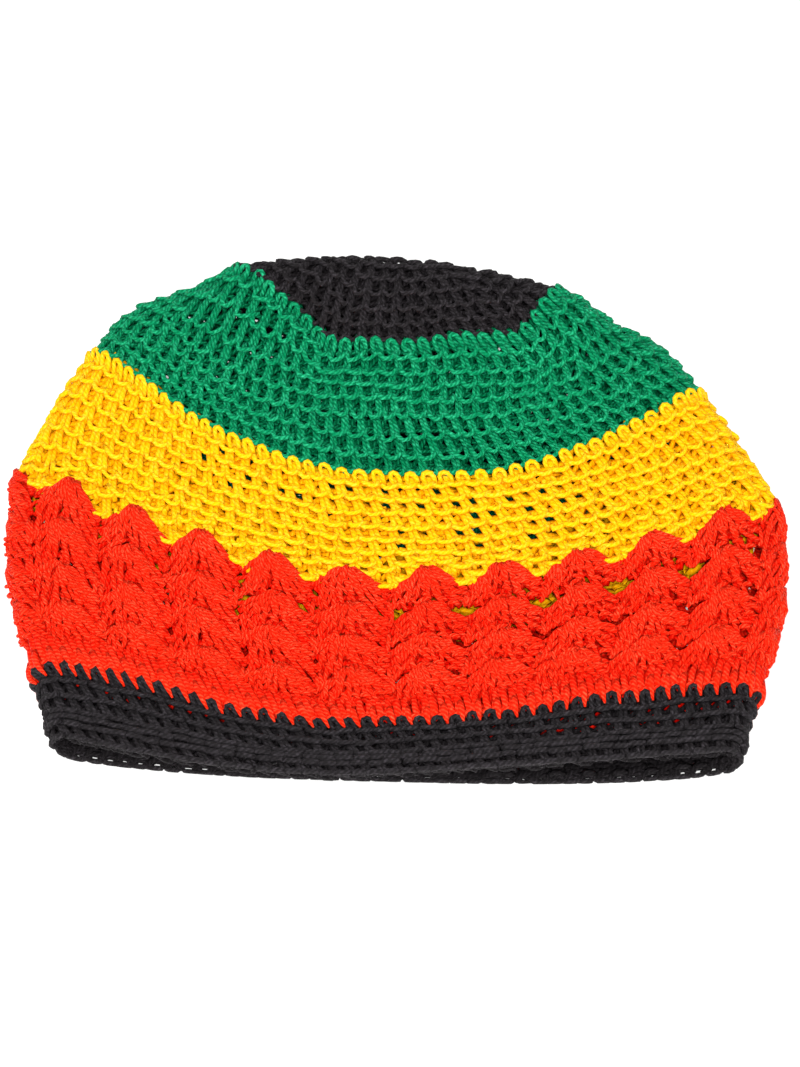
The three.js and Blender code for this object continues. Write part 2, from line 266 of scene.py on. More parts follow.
# %% Handwork on the wall
WANDER = [
    # waves round the hat, size in mm, length in mm of a wave down the hat
    (3, 0.30, 31), (5, 0.25, 23), (9, 0.22, 17), (14, 0.18, 41), (23, 0.15, 29),
]
CALM = 20  # distance from either end of the wall over which the waves fade out
GIRTH = 500  # rough length of a round in mm
ASIDE = (50, 0.3)  # how far down and round the waves for moving sideways are read
CROWN_PULL = [
    # share of the way round, millimetres that the crown's edge is drawn up there
    (0.15, 0), (0.25, 2.5), (0.4, 8), (0.455, 7.5), (0.48, 6), (0.555, 6.3), (0.61, 4.5), (0.68, 0),
]
RIM_PULL = [
    # the same for the lower edge of the red shells
    (0.25, 0), (0.36, 4), (0.43, 2), (0.55, 0.5), (0.6, 2.5), (0.64, 6), (0.68, 7), (0.71, 5),
    (0.75, 0),
]
CROWN_SPAN = ((0, CROWN_EDGE, GREEN_EDGE), (0, 1, 0))  # where the pull starts, is full and ends
RIM_SPAN = ((YELLOW_EDGE, SHELL_EDGE, RIM_EDGE), (0, 1, 0))


def wander(down, share):
    """Slow unevenness of handwork, in millimetres."""
    turns = [waves * share + down / length for waves, _, length in WANDER]
    return sum(size * np.sin(2 * np.pi * turn) for turn, (_, size, _) in zip(turns, WANDER))


def drawn_up(down, share):
    """How far the net is drawn toward the crown there."""
    share = np.mod(share, 1)
    crown = np.interp(share, *zip(*CROWN_PULL)) * np.interp(down, *CROWN_SPAN)
    rim = np.interp(share, *zip(*RIM_PULL)) * np.interp(down, *RIM_SPAN)
    return crown + rim


def on_wall(down, share, out):
    """Points of the hat, in millimetres: out is the height above the middle of the wall."""
    down = down - drawn_up(down, share)
    settled = np.clip((RIM_EDGE - down) / CALM, 0, 1) * np.clip(down / CALM, 0, 1)
    down = down + wander(down, share) * settled
    share = share + wander(down + ASIDE[0], share + ASIDE[1]) * settled / GIRTH
    point = read_grid(wall_grid, down, share)
    normal = read_grid(normal_grid, down, share)
    normal /= np.linalg.norm(normal, axis=-1, keepdims=True)
    return point + normal * out[..., None]


print("the rounds wander by up to", round(sum(size for _, size, _ in WANDER), 1), "mm")

# %% [markdown]
# Yarn is a tube of six sides that is swept along a path. A curve with a round bevel would do for
# one strand, but there are some 17,000, so all strands of one kind are swept at once, as arrays.
# The tube keeps its length in its UV map, so that the material can wind plies and fibres round
# the yarn at their real size.

# %% Rings round the yarn
TUBE_SIDES = 6
CAP = np.array([(0, 1, 2, 3), (0, 3, 4, 5)])  # two quads close a six-sided end
PLAIN_POINTS = 4  # a strand this short lies behind the stitches and is only glimpsed
PLAIN_SIDES = 4
PLAIN_CAP = np.array([(0, 1, 2, 3)])
TINY = 1e-9
NO_STRAND = np.array([0.31, 0.52, 0.79])  # a direction in which no strand starts


def tube_rings(paths, radius, sides):
    """Rings of points round many paths. Each ring turns as little as it can from the last."""
    count, steps, _ = paths.shape
    tangent = np.gradient(paths, axis=1)
    tangent /= np.linalg.norm(tangent, axis=-1, keepdims=True) + TINY
    side = np.cross(tangent[:, 0], NO_STRAND)
    around = 2 * np.pi * np.arange(sides) / sides
    rings = np.empty((count, steps, sides, 3))
    for step in range(steps):
        side -= (side * tangent[:, step]).sum(-1, keepdims=True) * tangent[:, step]
        side /= np.linalg.norm(side, axis=-1, keepdims=True) + TINY
        over = np.cross(tangent[:, step], side)
        spoke = np.cos(around)[:, None] * side[:, None] + np.sin(around)[:, None] * over[:, None]
        rings[:, step] = paths[:, step, None] + spoke * radius[:, step, None, None]
    return rings


print("a strand has", TUBE_SIDES, "sides, a hidden one", PLAIN_SIDES)

# %% Yarn tubes
jitter = np.random.default_rng(7)
UV_SPREAD = 50  # mm by which the plies of two strands can be out of step


def tube_uvs(paths, sides):
    """The corners of every quad, as millimetres along the yarn and turns about it."""
    count, steps, _ = paths.shape
    length = np.linalg.norm(np.diff(paths, axis=1), axis=-1)
    length = np.concatenate([np.zeros((count, 1)), np.cumsum(length, axis=1)], axis=1)
    length += jitter.uniform(0, UV_SPREAD, (count, 1))
    quads = (count, steps - 1, sides)
    spans = (length[:, :-1, None], length[:, 1:, None], np.arange(sides) / sides)
    start, end, low = (np.broadcast_to(span, quads) for span in spans)
    high = low + 1 / sides
    along = np.stack([start, start, end, end], axis=-1)
    about = np.stack([low, high, high, low], axis=-1)
    return np.stack([along, about], axis=-1).reshape(-1, 2)


def sweep(paths, radius):
    """Tubes along many paths: points, quads, UVs of the quads' corners, and the tubes' sides."""
    count, steps, _ = paths.shape
    sides, cap = (PLAIN_SIDES, PLAIN_CAP) if steps <= PLAIN_POINTS else (TUBE_SIDES, CAP)
    radius = np.broadcast_to(radius, (count, steps))
    paths = paths.copy()
    paths[..., 2] = np.maximum(paths[..., 2], radius)  # no strand sinks into the floor
    rings = tube_rings(paths, radius, sides)
    corner = np.arange(count * steps * sides).reshape(count, steps, sides)
    turned = np.roll(corner, -1, axis=2)
    walls = np.stack([corner[:, :-1], turned[:, :-1], turned[:, 1:], corner[:, 1:]], axis=-1)
    ends = np.concatenate([corner[:, 0, cap[:, ::-1]], corner[:, -1, cap]]).reshape(-1, 4)
    quads = np.concatenate([walls.reshape(-1, 4), ends])
    uvs = np.concatenate([tube_uvs(paths, sides), np.zeros((ends.size, 2))])
    return rings.reshape(-1, 3), quads, uvs, sides


print("a strand of 9 points has", 2 * (8 * TUBE_SIDES + 2 * len(CAP)), "triangles")

# %% A piece of yarn work


def yarn_mesh(name, strands):
    """One mesh of many strands. Its attribute lift is the height above the wall in mm, from which
    the yarn materials paint shade on low yarn and light on high yarn.
    """
    vertices, faces, uvs, lifts = [], [], [], []
    total = 0
    for down, share, out, radius in strands:
        points, quads, corners, sides = sweep(on_wall(down, share, out), radius)
        lifts.append(np.repeat(np.broadcast_to(out, share.shape).ravel(), sides))
        vertices.append(points)
        faces.append(quads + total)
        uvs.append(corners)
        total += len(points)
    vertices, faces, uvs, lifts = map(np.concatenate, (vertices, faces, uvs, lifts))
    mesh = bpy.data.meshes.new(name)
    mesh.vertices.add(len(vertices))
    mesh.vertices.foreach_set("co", (vertices * MM).ravel())
    mesh.loops.add(faces.size)
    mesh.loops.foreach_set("vertex_index", faces.ravel())
    mesh.polygons.add(len(faces))
    mesh.polygons.foreach_set("loop_start", np.arange(0, faces.size, 4))
    mesh.polygons.foreach_set("use_smooth", np.ones(len(faces), bool))
    mesh.uv_layers.new(name="yarn").data.foreach_set("uv", uvs.ravel())
    mesh.attributes.new("lift", "FLOAT", "POINT").data.foreach_set("value", lifts)
    mesh.update(calc_edges=True)
    mesh.validate()
    return mesh


def put_in_scene(name, data):
    """A new object with this mesh, lamp or camera."""
    thing = bpy.data.objects.new(name, data)
    bpy.context.scene.collection.objects.link(thing)
    return thing


def yarn_piece(name, strands, material, node):
    """One object of many strands (down, share, out, radius), which rides on the hat's body."""
    mesh = yarn_mesh(name, strands)
    mesh.materials.append(material)
    piece = put_in_scene(name, mesh)
    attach(piece, "root")
    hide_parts(node)
    print(name, "triangles", 2 * len(mesh.polygons))


print("one millimetre is", MM, "of Blender's metres")

# %% [markdown]
# A single crochet stitch has two things that show: its two legs side by side, and a link of the
# chain that the next round is worked into. The links sag between the legs, which makes the net
# look like a honeycomb. Where a new colour begins, the legs are an arch that hooks over the edge
# before it. Up to three more strands cross behind an opening. A path is a short list of points,
# and every stitch of a round shares it with a little unevenness.

# %% Paths of a single crochet
ARCH = np.array([
    # across (in half widths), down (share of the row), out (in yarn radii)
    (-0.7, 1.04, -0.6), (-0.95, 0.86, -0.1), (-1.05, 0.66, 0.5), (-1.1, 0.42, 1.5),
    (-0.75, 0.24, 2.3), (0.0, 0.16, 2.5), (0.75, 0.24, 2.3),
    (1.1, 0.42, 1.5), (1.05, 0.66, 0.5), (0.95, 0.86, -0.1), (0.7, 1.04, -0.6),
])
ARCH_CORE = np.array([  # fills the arch
    (0.1, 0.28, -0.2), (0.0, 0.5, 0.0), (-0.1, 0.75, 0.0), (-0.1, 1.05, -0.5),
])
LEGS = np.array([
    (-0.85, 1.08, -0.2), (-1.15, 0.84, 1.0), (-0.85, 0.5, 0.6), (-1.0, 0.16, 0.1),
    (0.0, -0.06, -0.4),
    (1.0, 0.16, 0.1), (0.85, 0.5, 0.6), (1.15, 0.84, 1.0), (0.85, 1.08, -0.2),
])
LINK = np.array([
    # across (share of the pitch), down (in sags), out (in yarn radii)
    (-0.6, -1.1, 0.1), (-0.42, -0.2, 1.1), (-0.18, 0.6, 1.6), (0.12, 0.8, 1.7), (0.38, 0.1, 1.3),
    (0.6, -0.9, 0.1),
])
BACK_LINK = np.array([
    (-0.65, -0.9, -0.1), (-0.25, -1.3, -1.1), (0.25, -1.3, -1.1), (0.65, -0.9, -0.1),
])
CROSSING = np.array([
    # across (share of the pitch), down (share of the row), out (in yarn radii)
    (-0.55, -0.1, -0.8), (-0.2, 0.2, -1.3), (0.2, 0.5, -1.3), (0.55, 0.85, -0.8),
])
FAR_CROSSING = np.array([
    (0.55, 0.0, -1.0), (0.2, 0.25, -2.1), (-0.2, 0.6, -2.1), (-0.55, 1.0, -1.0),
])
DEEP_LINK = np.array([
    (-0.5, 0.7, -1.6), (-0.2, 0.76, -2.9), (0.2, 0.76, -2.9), (0.5, 0.7, -1.6),
])
BEHIND = (CROSSING, FAR_CROSSING, DEEP_LINK)
print("the legs take", len(LEGS), "points, a link", len(LINK))

# %% A strand for every stitch of a round
# fall and lift: mm too low and too far out. tilt and side: widths of the path. size, yarn: shares
HAND = {"fall": 0.15, "tilt": 0.12, "size": 0.1, "lift": 0.12, "side": 0.06, "yarn": 0.07}


def uneven(count, amount):
    """A small random error for every stitch."""
    return jitter.normal(0, amount, (count, 1))


def strand(shares, path, top, bottom, width, lean, yarn):
    """One path repeated at many shares of the way round, between two edges."""
    count = len(shares)
    top, bottom = (np.broadcast_to(edge, shares.shape)[:, None] for edge in (top, bottom))
    across, down, out = path.T
    fall = top + (bottom - top) * down + uneven(count, HAND["fall"])
    tilt = uneven(count, HAND["tilt"]) * (down - 0.5) * width
    share = shares[:, None] + across * width * (1 + uneven(count, HAND["size"]))
    share = share + lean * down + tilt
    height = out * yarn * (1 + uneven(count, HAND["size"])) + uneven(count, HAND["lift"])
    share = share + uneven(count, HAND["side"]) * width
    return fall, share, height, yarn * (1 + uneven(count, HAND["yarn"]))


print("most strands lie within", 2 * HAND["fall"], "mm of their place")

# %% Two nets
# legs: half the distance between a stitch's two legs. sunk: how much deeper they lie than the
# chain. sag: how far a link hangs. leg_yarn, link_yarn, back: radius of the legs, of the chain and
# of what lies behind. closed: shares of the openings with a first, a second and a third strand
# behind them. gather: how many more of them close at the folds. All lengths are in millimetres.
OPEN_NET = {
    "legs": 0.66, "leg_yarn": 0.78, "sunk": 0.15, "link_yarn": 0.82, "sag": 1.4,
    "closed": (1.0, 1.0, 0.3), "back": 0.95, "gather": 0,
}
FULL_NET = {
    "legs": 0.8, "leg_yarn": 1.0, "sunk": 0.6, "link_yarn": 0.78, "sag": 1.2,
    "closed": (0.6, 0.5, 0.35), "back": 1.2, "gather": 1,
}
FOLD_SHARE = 0.25  # the side folds lie a quarter of the way round from the middle
GATHER_REACH = 0.12  # share of the way round that the wall is drawn together beside a fold
GATHER_FADE = 0.05


def gathered(share):
    """How far the wall is drawn together: 1 at its two side folds, 0 in the middle."""
    from_fold = np.abs(np.mod(share, 2 * FOLD_SHARE) - FOLD_SHARE)
    return np.clip((GATHER_REACH - from_fold) / GATHER_FADE, 0, 1)


print("gathered at a fold:", gathered(FOLD_SHARE), "in the middle:", gathered(0.5))

# %% Rounds and bands of single crochet
ARCH_YARN = 0.82
LEAN = -0.28  # stitches that a stitch slants sideways from its hole to its chain
DRIFT = 0.08  # stitches that each round moves sideways


def level(share):
    """An edge without waves."""
    return 0


def crochet_round(top, bottom, count, phase, net, arch=0, waves=(level, level)):
    """One round of single crochet. A new colour's first round has arches that are arch mm wide."""
    shares = (np.arange(count) + phase) / count
    pitch = 1 / count
    millimetre = pitch / pitch_at(bottom, count)
    upper, lower = top + waves[0](shares), bottom + waves[1](shares)
    lean = LEAN * pitch
    if arch:
        width = arch / 2 * millimetre
        stitches = strand(shares, ARCH, upper, lower, width, lean, ARCH_YARN)
        strands = [stitches, strand(shares, ARCH_CORE, upper, lower, width, lean, net["back"])]
    else:
        width = net["legs"] * millimetre
        down, share, out, yarn = strand(shares, LEGS, upper, lower, width, lean, net["leg_yarn"])
        strands = [(down, share, out - net["sunk"], yarn)]
    between = shares + pitch / 2
    upper, lower = top + waves[0](between), bottom + waves[1](between + lean)
    for path, closed in zip(BEHIND, net["closed"]):
        kept = jitter.random(count) < closed + net["gather"] * gathered(between)
        edges = (np.broadcast_to(edge, shares.shape)[kept] for edge in (upper, lower))
        strands.append(strand(between[kept], path, *edges, pitch, lean, net["back"]))
    hanging = lower + net["sag"]
    strands.append(strand(between + lean, BACK_LINK, lower, lower + 1, pitch, 0, net["back"]))
    strands.append(strand(between + lean, LINK, lower, hanging, pitch, 0, net["link_yarn"]))
    return strands


def crochet_band(top, bottom, counts, phase, net, arch=0, waves=None):
    """Rounds of single crochet from one edge of a band to the other, with arches on the first."""
    edges = np.linspace(top, bottom, len(counts) + 1)
    strands = []
    for i, count in enumerate(counts):
        edge_waves = (waves(i), waves(i + 1)) if waves else (level, level)
        first_arch = arch if i == 0 else 0
        strands += crochet_round(edges[i], edges[i + 1], count, phase, net, first_arch, edge_waves)
        phase += DRIFT
    return strands


print("a stitch slants by", round(LEAN * pitch_at(GREEN_EDGE, STITCHES), 1), "mm")

# %% [markdown]
# The dye is even, so what breaks the colour up is the yarn itself: plies that wind round it and
# fine fibres along them.
# The grooves between them get painted shade, as does yarn that lies low in a stitch, and the tops
# get a painted highlight for the shine of mercerised cotton. An image of yarn would repeat and
# blur, so these are worked out from the tube's own UV map in millimetres.

# %% Helpers for materials


def to_linear(hex_colour):
    """An sRGB hex colour as the linear RGBA that shaders use."""
    channels = [int(hex_colour[i:i + 2], 16) / 255 for i in (1, 3, 5)]
    return [c / 12.92 if c <= 0.04045 else ((c + 0.055) / 1.055) ** 2.4 for c in channels] + [1.0]


def add_node(tree, kind, inputs=None, **settings):
    """A shader node with its settings, constants and links. A node given links its first output."""
    node = tree.nodes.new(kind)
    for name, value in settings.items():
        setattr(node, name, value)
    for socket, value in (inputs or {}).items():
        value = value.outputs[0] if isinstance(value, bpy.types.Node) else value
        if isinstance(value, bpy.types.NodeSocket):
            tree.links.new(value, node.inputs[socket])
        else:
            node.inputs[socket].default_value = value
    return node


def start_material(name):
    """A new material, its nodes and its main shader."""
    material = bpy.data.materials.new(name)
    material.use_nodes = True
    return material, material.node_tree, material.node_tree.nodes["Principled BSDF"]


print("half grey is", round(to_linear("#808080")[0], 3), "in linear light")

# %% Pattern of plies and fibres
PLIES = 3
LAY = 4.8  # length in mm in which a ply goes once round the yarn
PLY_TURN = (2 * math.pi * PLIES / LAY, 2 * math.pi * PLIES, 0)  # radians per mm and per turn
FIBRES = {"Scale": 1.1, "Detail": 3.0, "Roughness": 0.65}  # fine hairs that lie along a ply
GLINT_SPECKS = {"Scale": 900.0, "Detail": 2.0, "Roughness": 0.6}  # painted highlight, broken into glints about 1 mm apart
GLINT_PATCHES = {"Scale": 140.0, "Detail": 2.0, "Roughness": 0.5}  # painted highlight is stronger on some stitches
GROOVE_SHADE = 0.2  # painted shade: lightness in the grooves between the fibres
LIFT_TO_LIGHT = {1: -1.2, 2: 1.0, 3: -0.3, 4: 0.42}  # low and high lift in mm, and the painted lightness for each: painted shade on low yarn, painted light on high yarn
SHINE_FROM, SHINE_TO = 0.45, 0.65  # values of the specks between which the painted highlight grows
# how strong the painted highlight can grow
SHINE = {3: 0.0, 4: 1.4}
FIBRE_HEIGHT = 0.8  # of a fibre's relief, against a ply's


def yarn_pattern(tree, plied):
    """Painted shade and painted highlight of the yarn, and the height of its plies and fibres."""
    uv = add_node(tree, "ShaderNodeUVMap", uv_map="yarn")
    place = add_node(tree, "ShaderNodeTexCoord").outputs["Object"]
    dot = add_node(tree, "ShaderNodeVectorMath", {0: uv, 1: PLY_TURN}, operation="DOT_PRODUCT")
    turn = dot.outputs["Value"]
    wave = add_node(tree, "ShaderNodeMath", {0: turn}, operation="SINE")
    ply = add_node(tree, "ShaderNodeMath", {0: wave, 1: 0.5, 2: 0.5}, operation="MULTIPLY_ADD")
    along = add_node(tree, "ShaderNodeSeparateXYZ", {0: uv})
    streak = add_node(tree, "ShaderNodeCombineXYZ", {0: turn, 1: along})
    fibres = add_node(tree, "ShaderNodeTexNoise", {"Vector": streak, **FIBRES})
    glint_specks = add_node(tree, "ShaderNodeTexNoise", {"Vector": place, **GLINT_SPECKS})
    glint_patches = add_node(tree, "ShaderNodeTexNoise", {"Vector": place, **GLINT_PATCHES})
    # painted shade: darker in the grooves between plies and between fibres
    between = add_node(tree, "ShaderNodeMix", {0: fibres, 2: GROOVE_SHADE, 3: ply})
    # painted shade on yarn that lies low in a stitch, painted light on yarn on top
    lift = add_node(tree, "ShaderNodeAttribute", attribute_name="lift")
    painted_lift_shade = add_node(tree, "ShaderNodeMapRange", {0: lift.outputs["Fac"], **LIFT_TO_LIGHT})
    # painted shading: the groove shade plus the shade from the lift
    painted_shading = add_node(tree, "ShaderNodeMath", {
        0: between, 1: painted_lift_shade}, operation="ADD", use_clamp=True)
    # painted highlight: glints on the specks and on the ply crests, stronger in some patches, only
    # on raised yarn
    glint_pattern = add_node(tree, "ShaderNodeMath", {
        0: ply, 1: plied, 2: glint_specks}, operation="MULTIPLY_ADD")
    painted_glint = add_node(tree, "ShaderNodeMapRange", {
        0: glint_pattern, 1: SHINE_FROM + plied / 2, 2: SHINE_TO + plied, **SHINE})
    patched_glint = add_node(tree, "ShaderNodeMath", {
        0: painted_glint, 1: glint_patches}, operation="MULTIPLY", use_clamp=True)
    painted_highlight = add_node(tree, "ShaderNodeMath", {0: patched_glint, 1: painted_shading}, operation="MULTIPLY")
    height = add_node(tree, "ShaderNodeMath", {
        0: fibres, 1: FIBRE_HEIGHT, 2: ply}, operation="MULTIPLY_ADD")
    return painted_shading, painted_highlight, height


print("a ply winds round the yarn once in", LAY, "mm")

# %% Yarn material
RELIEF = 0.2  # strength of the bump of a yarn whose plies don't show
RELIEF_DEPTH = 0.2  # in mm
YARN_FINISH = {
    "Roughness": 0.7, "IOR": 1.5, "Specular IOR Level": 0.15,
    # light soaks through the loose fibres
    "Subsurface Weight": 0.4, "Subsurface Radius": (1, 1, 1), "Subsurface Scale": 2 * MM,
}


def yarn_material(name, painted_shade_colour, body, highlight_colour, plied):
    """Mercerised cotton with painted light: painted_shade_colour is painted shade in the cells,
    grooves and low yarn, highlight_colour a painted highlight on the tops that also tints the real
    shine, plied how far plies show in bump and painted highlight.
    """
    material, tree, shader = start_material(name)
    painted_shading, painted_highlight, height = yarn_pattern(tree, plied)
    # painted shade: the body colour darkens toward painted_shade_colour in grooves, cells and on
    # low yarn
    ground_with_painted_shade = add_node(tree, "ShaderNodeMix", {
        0: painted_shading, 6: to_linear(painted_shade_colour), 7: to_linear(body)}, data_type="RGBA")
    # painted highlight: highlight_colour on the raised tops
    colour = add_node(tree, "ShaderNodeMix", {
        0: painted_highlight, 6: ground_with_painted_shade.outputs[2], 7: to_linear(highlight_colour)}, data_type="RGBA")
    bump = add_node(tree, "ShaderNodeBump", {
        "Strength": RELIEF + plied, "Distance": RELIEF_DEPTH * MM, "Height": height})
    tree.links.new(colour.outputs[2], shader.inputs["Base Color"])
    tree.links.new(bump.outputs[0], shader.inputs["Normal"])
    shader.inputs["Specular Tint"].default_value = to_linear(highlight_colour)
    for socket, value in YARN_FINISH.items():
        shader.inputs[socket].default_value = value
    return material


print("the yarn's relief is", RELIEF_DEPTH, "mm")

# %% Four colours of cotton
# black keeps a painted grey highlight, so that its stitches can be told apart
black_cotton = yarn_material("black_mercerised_cotton", "#131112", "#222021", "#3e3a3e", 0.15)
# green's painted shade is bottle green in the cells, and its painted highlight a cool light green
green_cotton = yarn_material("green_mercerised_cotton", "#004426", "#087e50", "#30b482", 0.12)
# yellow's painted shade is orange, the colour of light that has passed through more than one strand
yellow_cotton = yarn_material("yellow_mercerised_cotton", "#e49a02", "#f8bb0a", "#ffca38", 0.1)
# red is spun more loosely, so its plies show most, in the bump and in the painted highlight on
# their crests
red_cotton = yarn_material("red_mercerised_cotton", "#c40802", "#e6240c", "#ff5838", 0.3)
print("nodes in each", len(red_cotton.node_tree.nodes))

# %% [markdown]
# The crown is worked outward from a small ring. Each round has six stitches more than the one
# before, and because the increases stand over each other the disc becomes a hexagon. A flat disc
# with a bumpy net would do from far away, but only real strands leave real holes.

# %% Crown
CROWN_ROUNDS = 11
crown_counts = [CROWN_SIDES * (i + 1) for i in range(CROWN_ROUNDS)]
crown_strands = crochet_band(0, CROWN_EDGE, crown_counts, 0.0, OPEN_NET)
yarn_piece("crown_crochet", crown_strands, black_cotton, "crown")

# %% [markdown]
# The green band widens the hat from the crown's 66 stitches to 88. Its first arches poke up over
# the black edge, as each new colour does where it is worked into the one before.

# %% Green band
ARCH_WIDTH = 2.9
GREEN_ROUNDS = 8
GREEN_PHASE = 0.2  # stitches that the first one lies past the middle of the back
widening = STITCHES - crown_counts[-1]
green_counts = [
    round(crown_counts[-1] + widening * (i + 1) / GREEN_ROUNDS) for i in range(GREEN_ROUNDS)
]
green_strands = crochet_band(
    CROWN_EDGE, GREEN_EDGE, green_counts, GREEN_PHASE, OPEN_NET, ARCH_WIDTH
)
yarn_piece("green_crochet", green_strands, green_cotton, "green_band")

# %% [markdown]
# The red shells below push up into the yellow band in points. Both bands need that line, so it
# comes first: a point has a flat top, and its two sides fall straight to the valleys.

# %% The zigzag between yellow and red
SHELLS = 22
SHELL_PHASE = 0.49  # shells that the first column lies past the middle of the back
SHELL_HALF = 11.6  # half the distance between two columns of shells
FLAT_TOP = 2.2  # half the width of a shell's flat top
POINT_DEPTH = 7.6  # how far the valleys between the points lie below them


def point_line(across):
    """How far below its point a shell's top edge lies."""
    return POINT_DEPTH * np.clip((np.abs(across) - FLAT_TOP) / (SHELL_HALF - FLAT_TOP), 0, 1)


def zigzag(share):
    """The line between yellow and red, in millimetres above and below the band's edge."""
    column = np.mod(share * SHELLS - SHELL_PHASE + 0.5, 1) - 0.5
    return point_line(column * 2 * SHELL_HALF) - POINT_DEPTH / 2


print(SHELLS, "points,", STITCHES // SHELLS, "stitches to each")

# %% [markdown]
# The yellow band keeps 88 stitches. Its yarn is a little fuller, so the holes are smaller, and
# beside the side folds, where the net is drawn together, they close. Its last rounds follow the
# points of the red shells.

# %% Yellow band
YELLOW_ROUNDS = 8
YELLOW_PHASE = 0.4
FOLLOWING = [0, 0, 0, 0, 0, 0, 0.1, 0.5, 1.0]  # how far each yellow edge follows the points
LAST_CHAIN = 0.9  # how far above the points the last yellow chain runs, in mm


def yellow_waves(edge):
    return lambda share: FOLLOWING[edge] * (zigzag(share) - LAST_CHAIN)


yellow_counts = [STITCHES] * YELLOW_ROUNDS
yellow_strands = crochet_band(
    GREEN_EDGE, YELLOW_EDGE, yellow_counts, YELLOW_PHASE, FULL_NET, ARCH_WIDTH, yellow_waves
)
yarn_piece("yellow_crochet", yellow_strands, yellow_cotton, "yellow_band")

# %% [markdown]
# Each red shell is a fan of tall double crochet stitches, all worked into one hole. The fans of a
# row hang lower at their sides than in the middle, so the rows nest like chevrons. One fan is
# drawn flat, as an outline and a direction for each stitch, and then laid on the wall 22 times in
# 4 rows, each time with small differences.

# %% Outline of a shell
SHELL_ROWS = 4
PLAIN_ROUND = 8  # height of the plain red round below the shells
FIRST_POINT = YELLOW_EDGE - POINT_DEPTH / 2
SHELL_ROW = (SHELL_EDGE - PLAIN_ROUND - FIRST_POINT) / SHELL_ROWS
MEET = 1.03  # neighbouring columns reach this far into each other
OVERLAP = 2.0  # how far a fan's ends reach over the next fan, in mm
LAST_OVERLAP = 2.0  # how far the last fans reach over the plain round
SIDE_START = 0.6  # how far below the valley the outline begins


def lower_edge(across, row):
    """Where the fans of a row end, in millimetres down from their own points."""
    if row == SHELL_ROWS - 1:
        return SHELL_ROW + LAST_OVERLAP + 0 * across
    return SHELL_ROW + point_line(across) + OVERLAP


def outline(u, row):
    """Points on a fan's outline, from one valley (-1) round its end to the other (1)."""
    edge = SHELL_HALF * MEET
    corner = lower_edge(np.sign(u) * edge, row)
    drop = corner - POINT_DEPTH - SIDE_START
    walked = np.abs(u) * (drop + edge)
    across = np.sign(u) * np.minimum(walked, edge)
    down = np.where(walked < edge, lower_edge(across, row), corner - (walked - edge))
    return np.stack([across, down], axis=-1)


print("a row of shells is", round(SHELL_ROW, 1), "mm high")

# %% Path of a tall stitch
FAN_OPENING = math.radians(52)  # first direction of the outermost stitches, from straight down
FAN_BEND = 6.5  # length in mm before a stitch turns down
TOP_START, TOP_CURVE = 0.3, 0.7  # mm below the point where stitches start, and more at the sides
END_SHORT = 0.5  # mm that the middle stitch ends before the outline


def fan_path(u, row, t):
    """The middle of one tall stitch, across and down from the fan's point. u runs from -1 to 1."""
    start = np.array([FLAT_TOP * u, TOP_START + TOP_CURVE * u ** 4])
    angle = u * FAN_OPENING
    turn = start + FAN_BEND * np.array([math.sin(angle), math.cos(angle)])
    end = outline(np.array(u), row) - [0, END_SHORT * (1 - abs(u))]
    t = t[:, None]
    return (1 - t) ** 2 * start + 2 * t * (1 - t) * turn + t ** 2 * end


print("the middle stitch ends at", fan_path(0, 0, np.array([1]))[0].round(1), "mm")

# %% [markdown]
# A tall stitch is two strands that twist round each other, and two short ones wrapped over them.
# The first row of shells stands out from the yellow band, and the others lie flatter. Each
# function below lists strands as (path, height, yarn, looseness, how far they keep their place).

# %% A tall stitch
FAN_STEPS = 9
SHELL_YARN = 0.7
WRAP_YARN = 0.85  # of the shell yarn
TWIST = 2.3  # half turns of the two strands round each other
TWIST_ON = 3  # radians by which the outermost stitches are ahead
TWIST_HEIGHT = 0.55
SPREAD, MORE_SPREAD = 0.4, 0.8  # half distance between the two strands, and more at the end
OUTER_SPREAD = 0.5  # of that, in the outermost stitches
RISE = [(1.9, 1.3), (0.3, 1.0), (0.3, 1.0), (0.3, 1.0)]  # mm out at the top and in the bulge
FLATTER = 0.85  # how much flatter the outermost stitches are
BULGE_ENDS = 1.3  # the bulge is over this many times sooner than the stitch
TUCK = 0.2  # mm that the end of a stitch goes in
LOOSE, OUTER_LOOSE, WRAP_LOOSE = 0.25, 0.12, 0.5  # mm of unevenness
WRAP_PLACES = (0.45, 0.8)
WRAP_RISE = 0.5  # of the stitch's own height there
WRAP = np.array([
    # across the stitch (mm), along it (mm), out (mm)
    (-1.4, 0.9, 0.3), (-0.7, 0.5, 1.4), (0.1, -0.1, 1.8), (0.8, -0.7, 1.4), (1.4, -1.0, 0.3),
])


